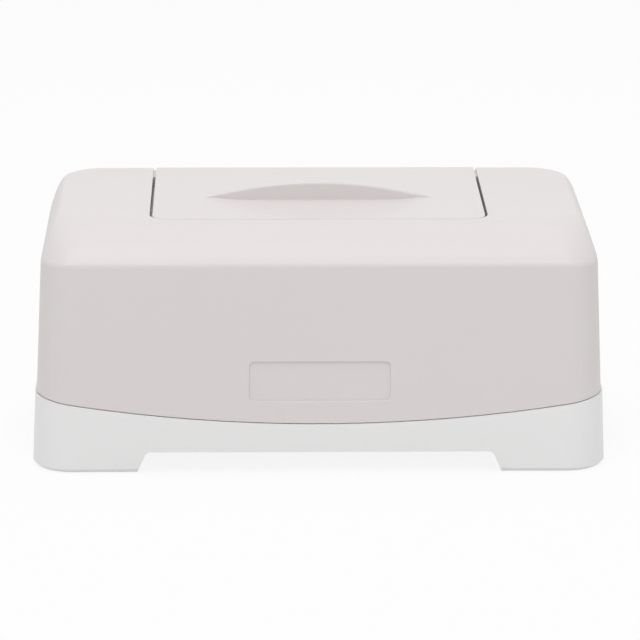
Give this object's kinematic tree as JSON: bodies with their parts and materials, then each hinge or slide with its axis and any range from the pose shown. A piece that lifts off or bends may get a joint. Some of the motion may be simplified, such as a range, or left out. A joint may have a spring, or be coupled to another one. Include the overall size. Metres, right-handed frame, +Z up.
{
  "type": "baby wipes box",
  "caption": "Oblong countertop box for baby wipes: footed tray, lift-off hood, hinged flap with an arched grip, press plate and seals.",
  "frame": {"origin": "on the floor plane, under the middle of the box's outline", "axes": "+Z up, +X to the right and +Y to the back, seen from the front face"},
  "size_m": [0.2498, 0.1338, 0.1138],
  "materials": {
    "tray_plastic": "satin white ABS",
    "hood_plastic": "fine satin texture, pale warm grey",
    "flap_plastic": "fine satin texture, pale warm grey",
    "seal_silicone": "matte translucent white",
    "pin_steel": "drawn wire",
    "plate_plastic": "satin white",
    "weight_steel": "zinc plated",
    "pad_rubber": "matte grey"
  },
  "bodies": {
    "tray": {"base_tray": "tray_plastic", "hood_seal": "seal_silicone", "foot_pad_front_left": "pad_rubber", "foot_pad_front_right": "pad_rubber", "foot_pad_back_left": "pad_rubber", "foot_pad_back_right": "pad_rubber"},
    "hood": {"cover_hood": "hood_plastic", "hinge_pin_left": "pin_steel", "hinge_pin_right": "pin_steel"},
    "flap": {"flap_lid": "flap_plastic", "lid_seal": "seal_silicone"},
    "plate": {"press_plate": "plate_plastic", "plate_weight_left": "weight_steel", "plate_weight_right": "weight_steel"}
  },
  "joints": [
    {"name": "hood_lift", "type": "slide", "parent": "tray", "child": "hood", "axis": [0, 0, 1], "range_m": [0, 0.12]},
    {"name": "flap_hinge", "type": "hinge", "parent": "hood", "child": "flap", "pos_m": [0, 0.0587, 0.1031], "axis": [-1, 0, 0], "range_deg": [0, 105]},
    {"name": "plate_lift", "type": "slide", "parent": "tray", "child": "plate", "axis": [0, 0, 1], "range_m": [0, 0.055]}
  ]
}
